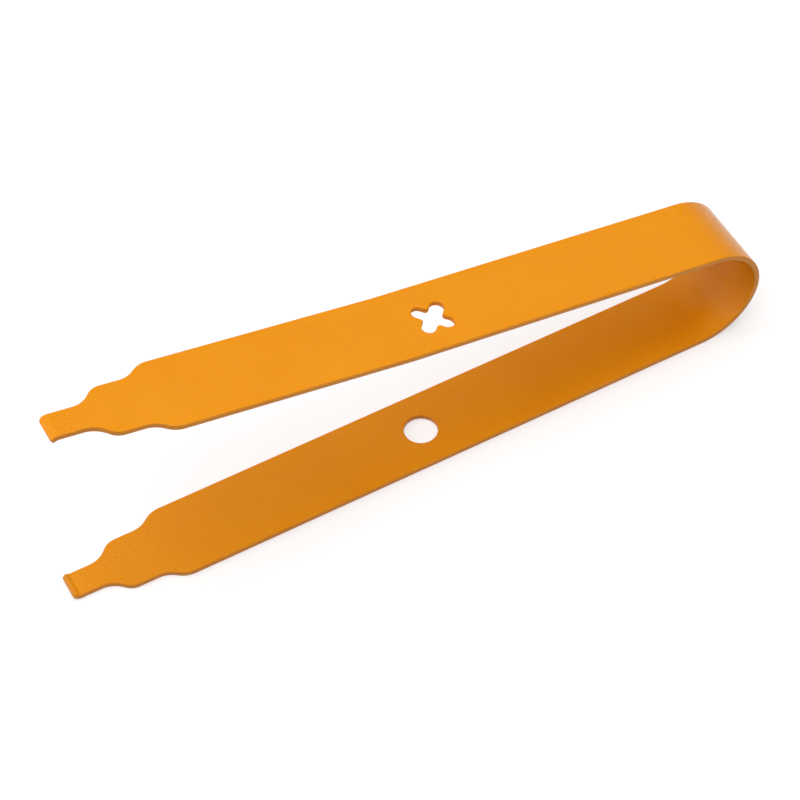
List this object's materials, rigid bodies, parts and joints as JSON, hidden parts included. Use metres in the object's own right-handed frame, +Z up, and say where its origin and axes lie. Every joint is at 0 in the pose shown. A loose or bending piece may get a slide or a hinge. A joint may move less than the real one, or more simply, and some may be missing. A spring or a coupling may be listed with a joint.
{
  "type": "keyboard switch puller",
  "caption": "Tweezer-like strip of painted spring steel, folded in a U, with stepped tips turned in to lips, a round hole in one arm and a cross cut-out in the other.",
  "frame": {"origin": "middle of the whole length and width, on the surface that the lower arm lies on", "axes": "+X along the lower arm from the tips to the U bend, +Y across the strip's width, +Z up from the lower arm to the upper arm"},
  "size_m": [0.1106, 0.0122, 0.0369],
  "materials": {
    "painted_steel": "amber powder coat, satin, with a fine sandy grain"
  },
  "bodies": {
    "root": {"bent_strip": "painted_steel"}
  },
  "joints": []
}
